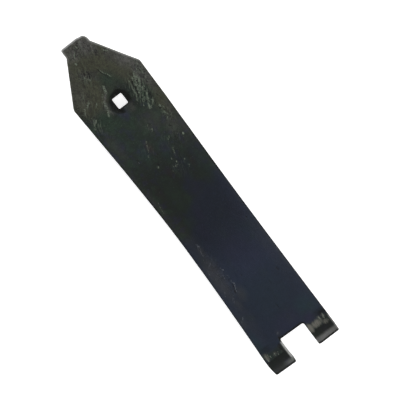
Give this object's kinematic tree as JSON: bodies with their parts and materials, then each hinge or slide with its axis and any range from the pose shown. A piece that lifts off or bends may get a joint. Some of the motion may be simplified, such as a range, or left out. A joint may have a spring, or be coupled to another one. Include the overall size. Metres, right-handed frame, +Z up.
{
  "type": "cultivator deflector plate",
  "caption": "Forged steel deflector plate for a cultivator tine: bowed flat bar with a tapered head, a countersunk square bolt hole, and two short tabs turned down beside a notch.",
  "frame": {"origin": "under the middle of the plate's box, on the surface that it lies on", "axes": "+X along the plate from the tongue to the tabs, +Y across it, +Z up out of the surface that it lies on, towards the front face"},
  "size_m": [0.379, 0.08, 0.0493],
  "materials": {
    "painted_forged_steel": "worn blue-black paint, thin and olive-grey over forging scale at the head, half glossy"
  },
  "bodies": {
    "root": {"deflector_plate": "painted_forged_steel"}
  },
  "joints": []
}
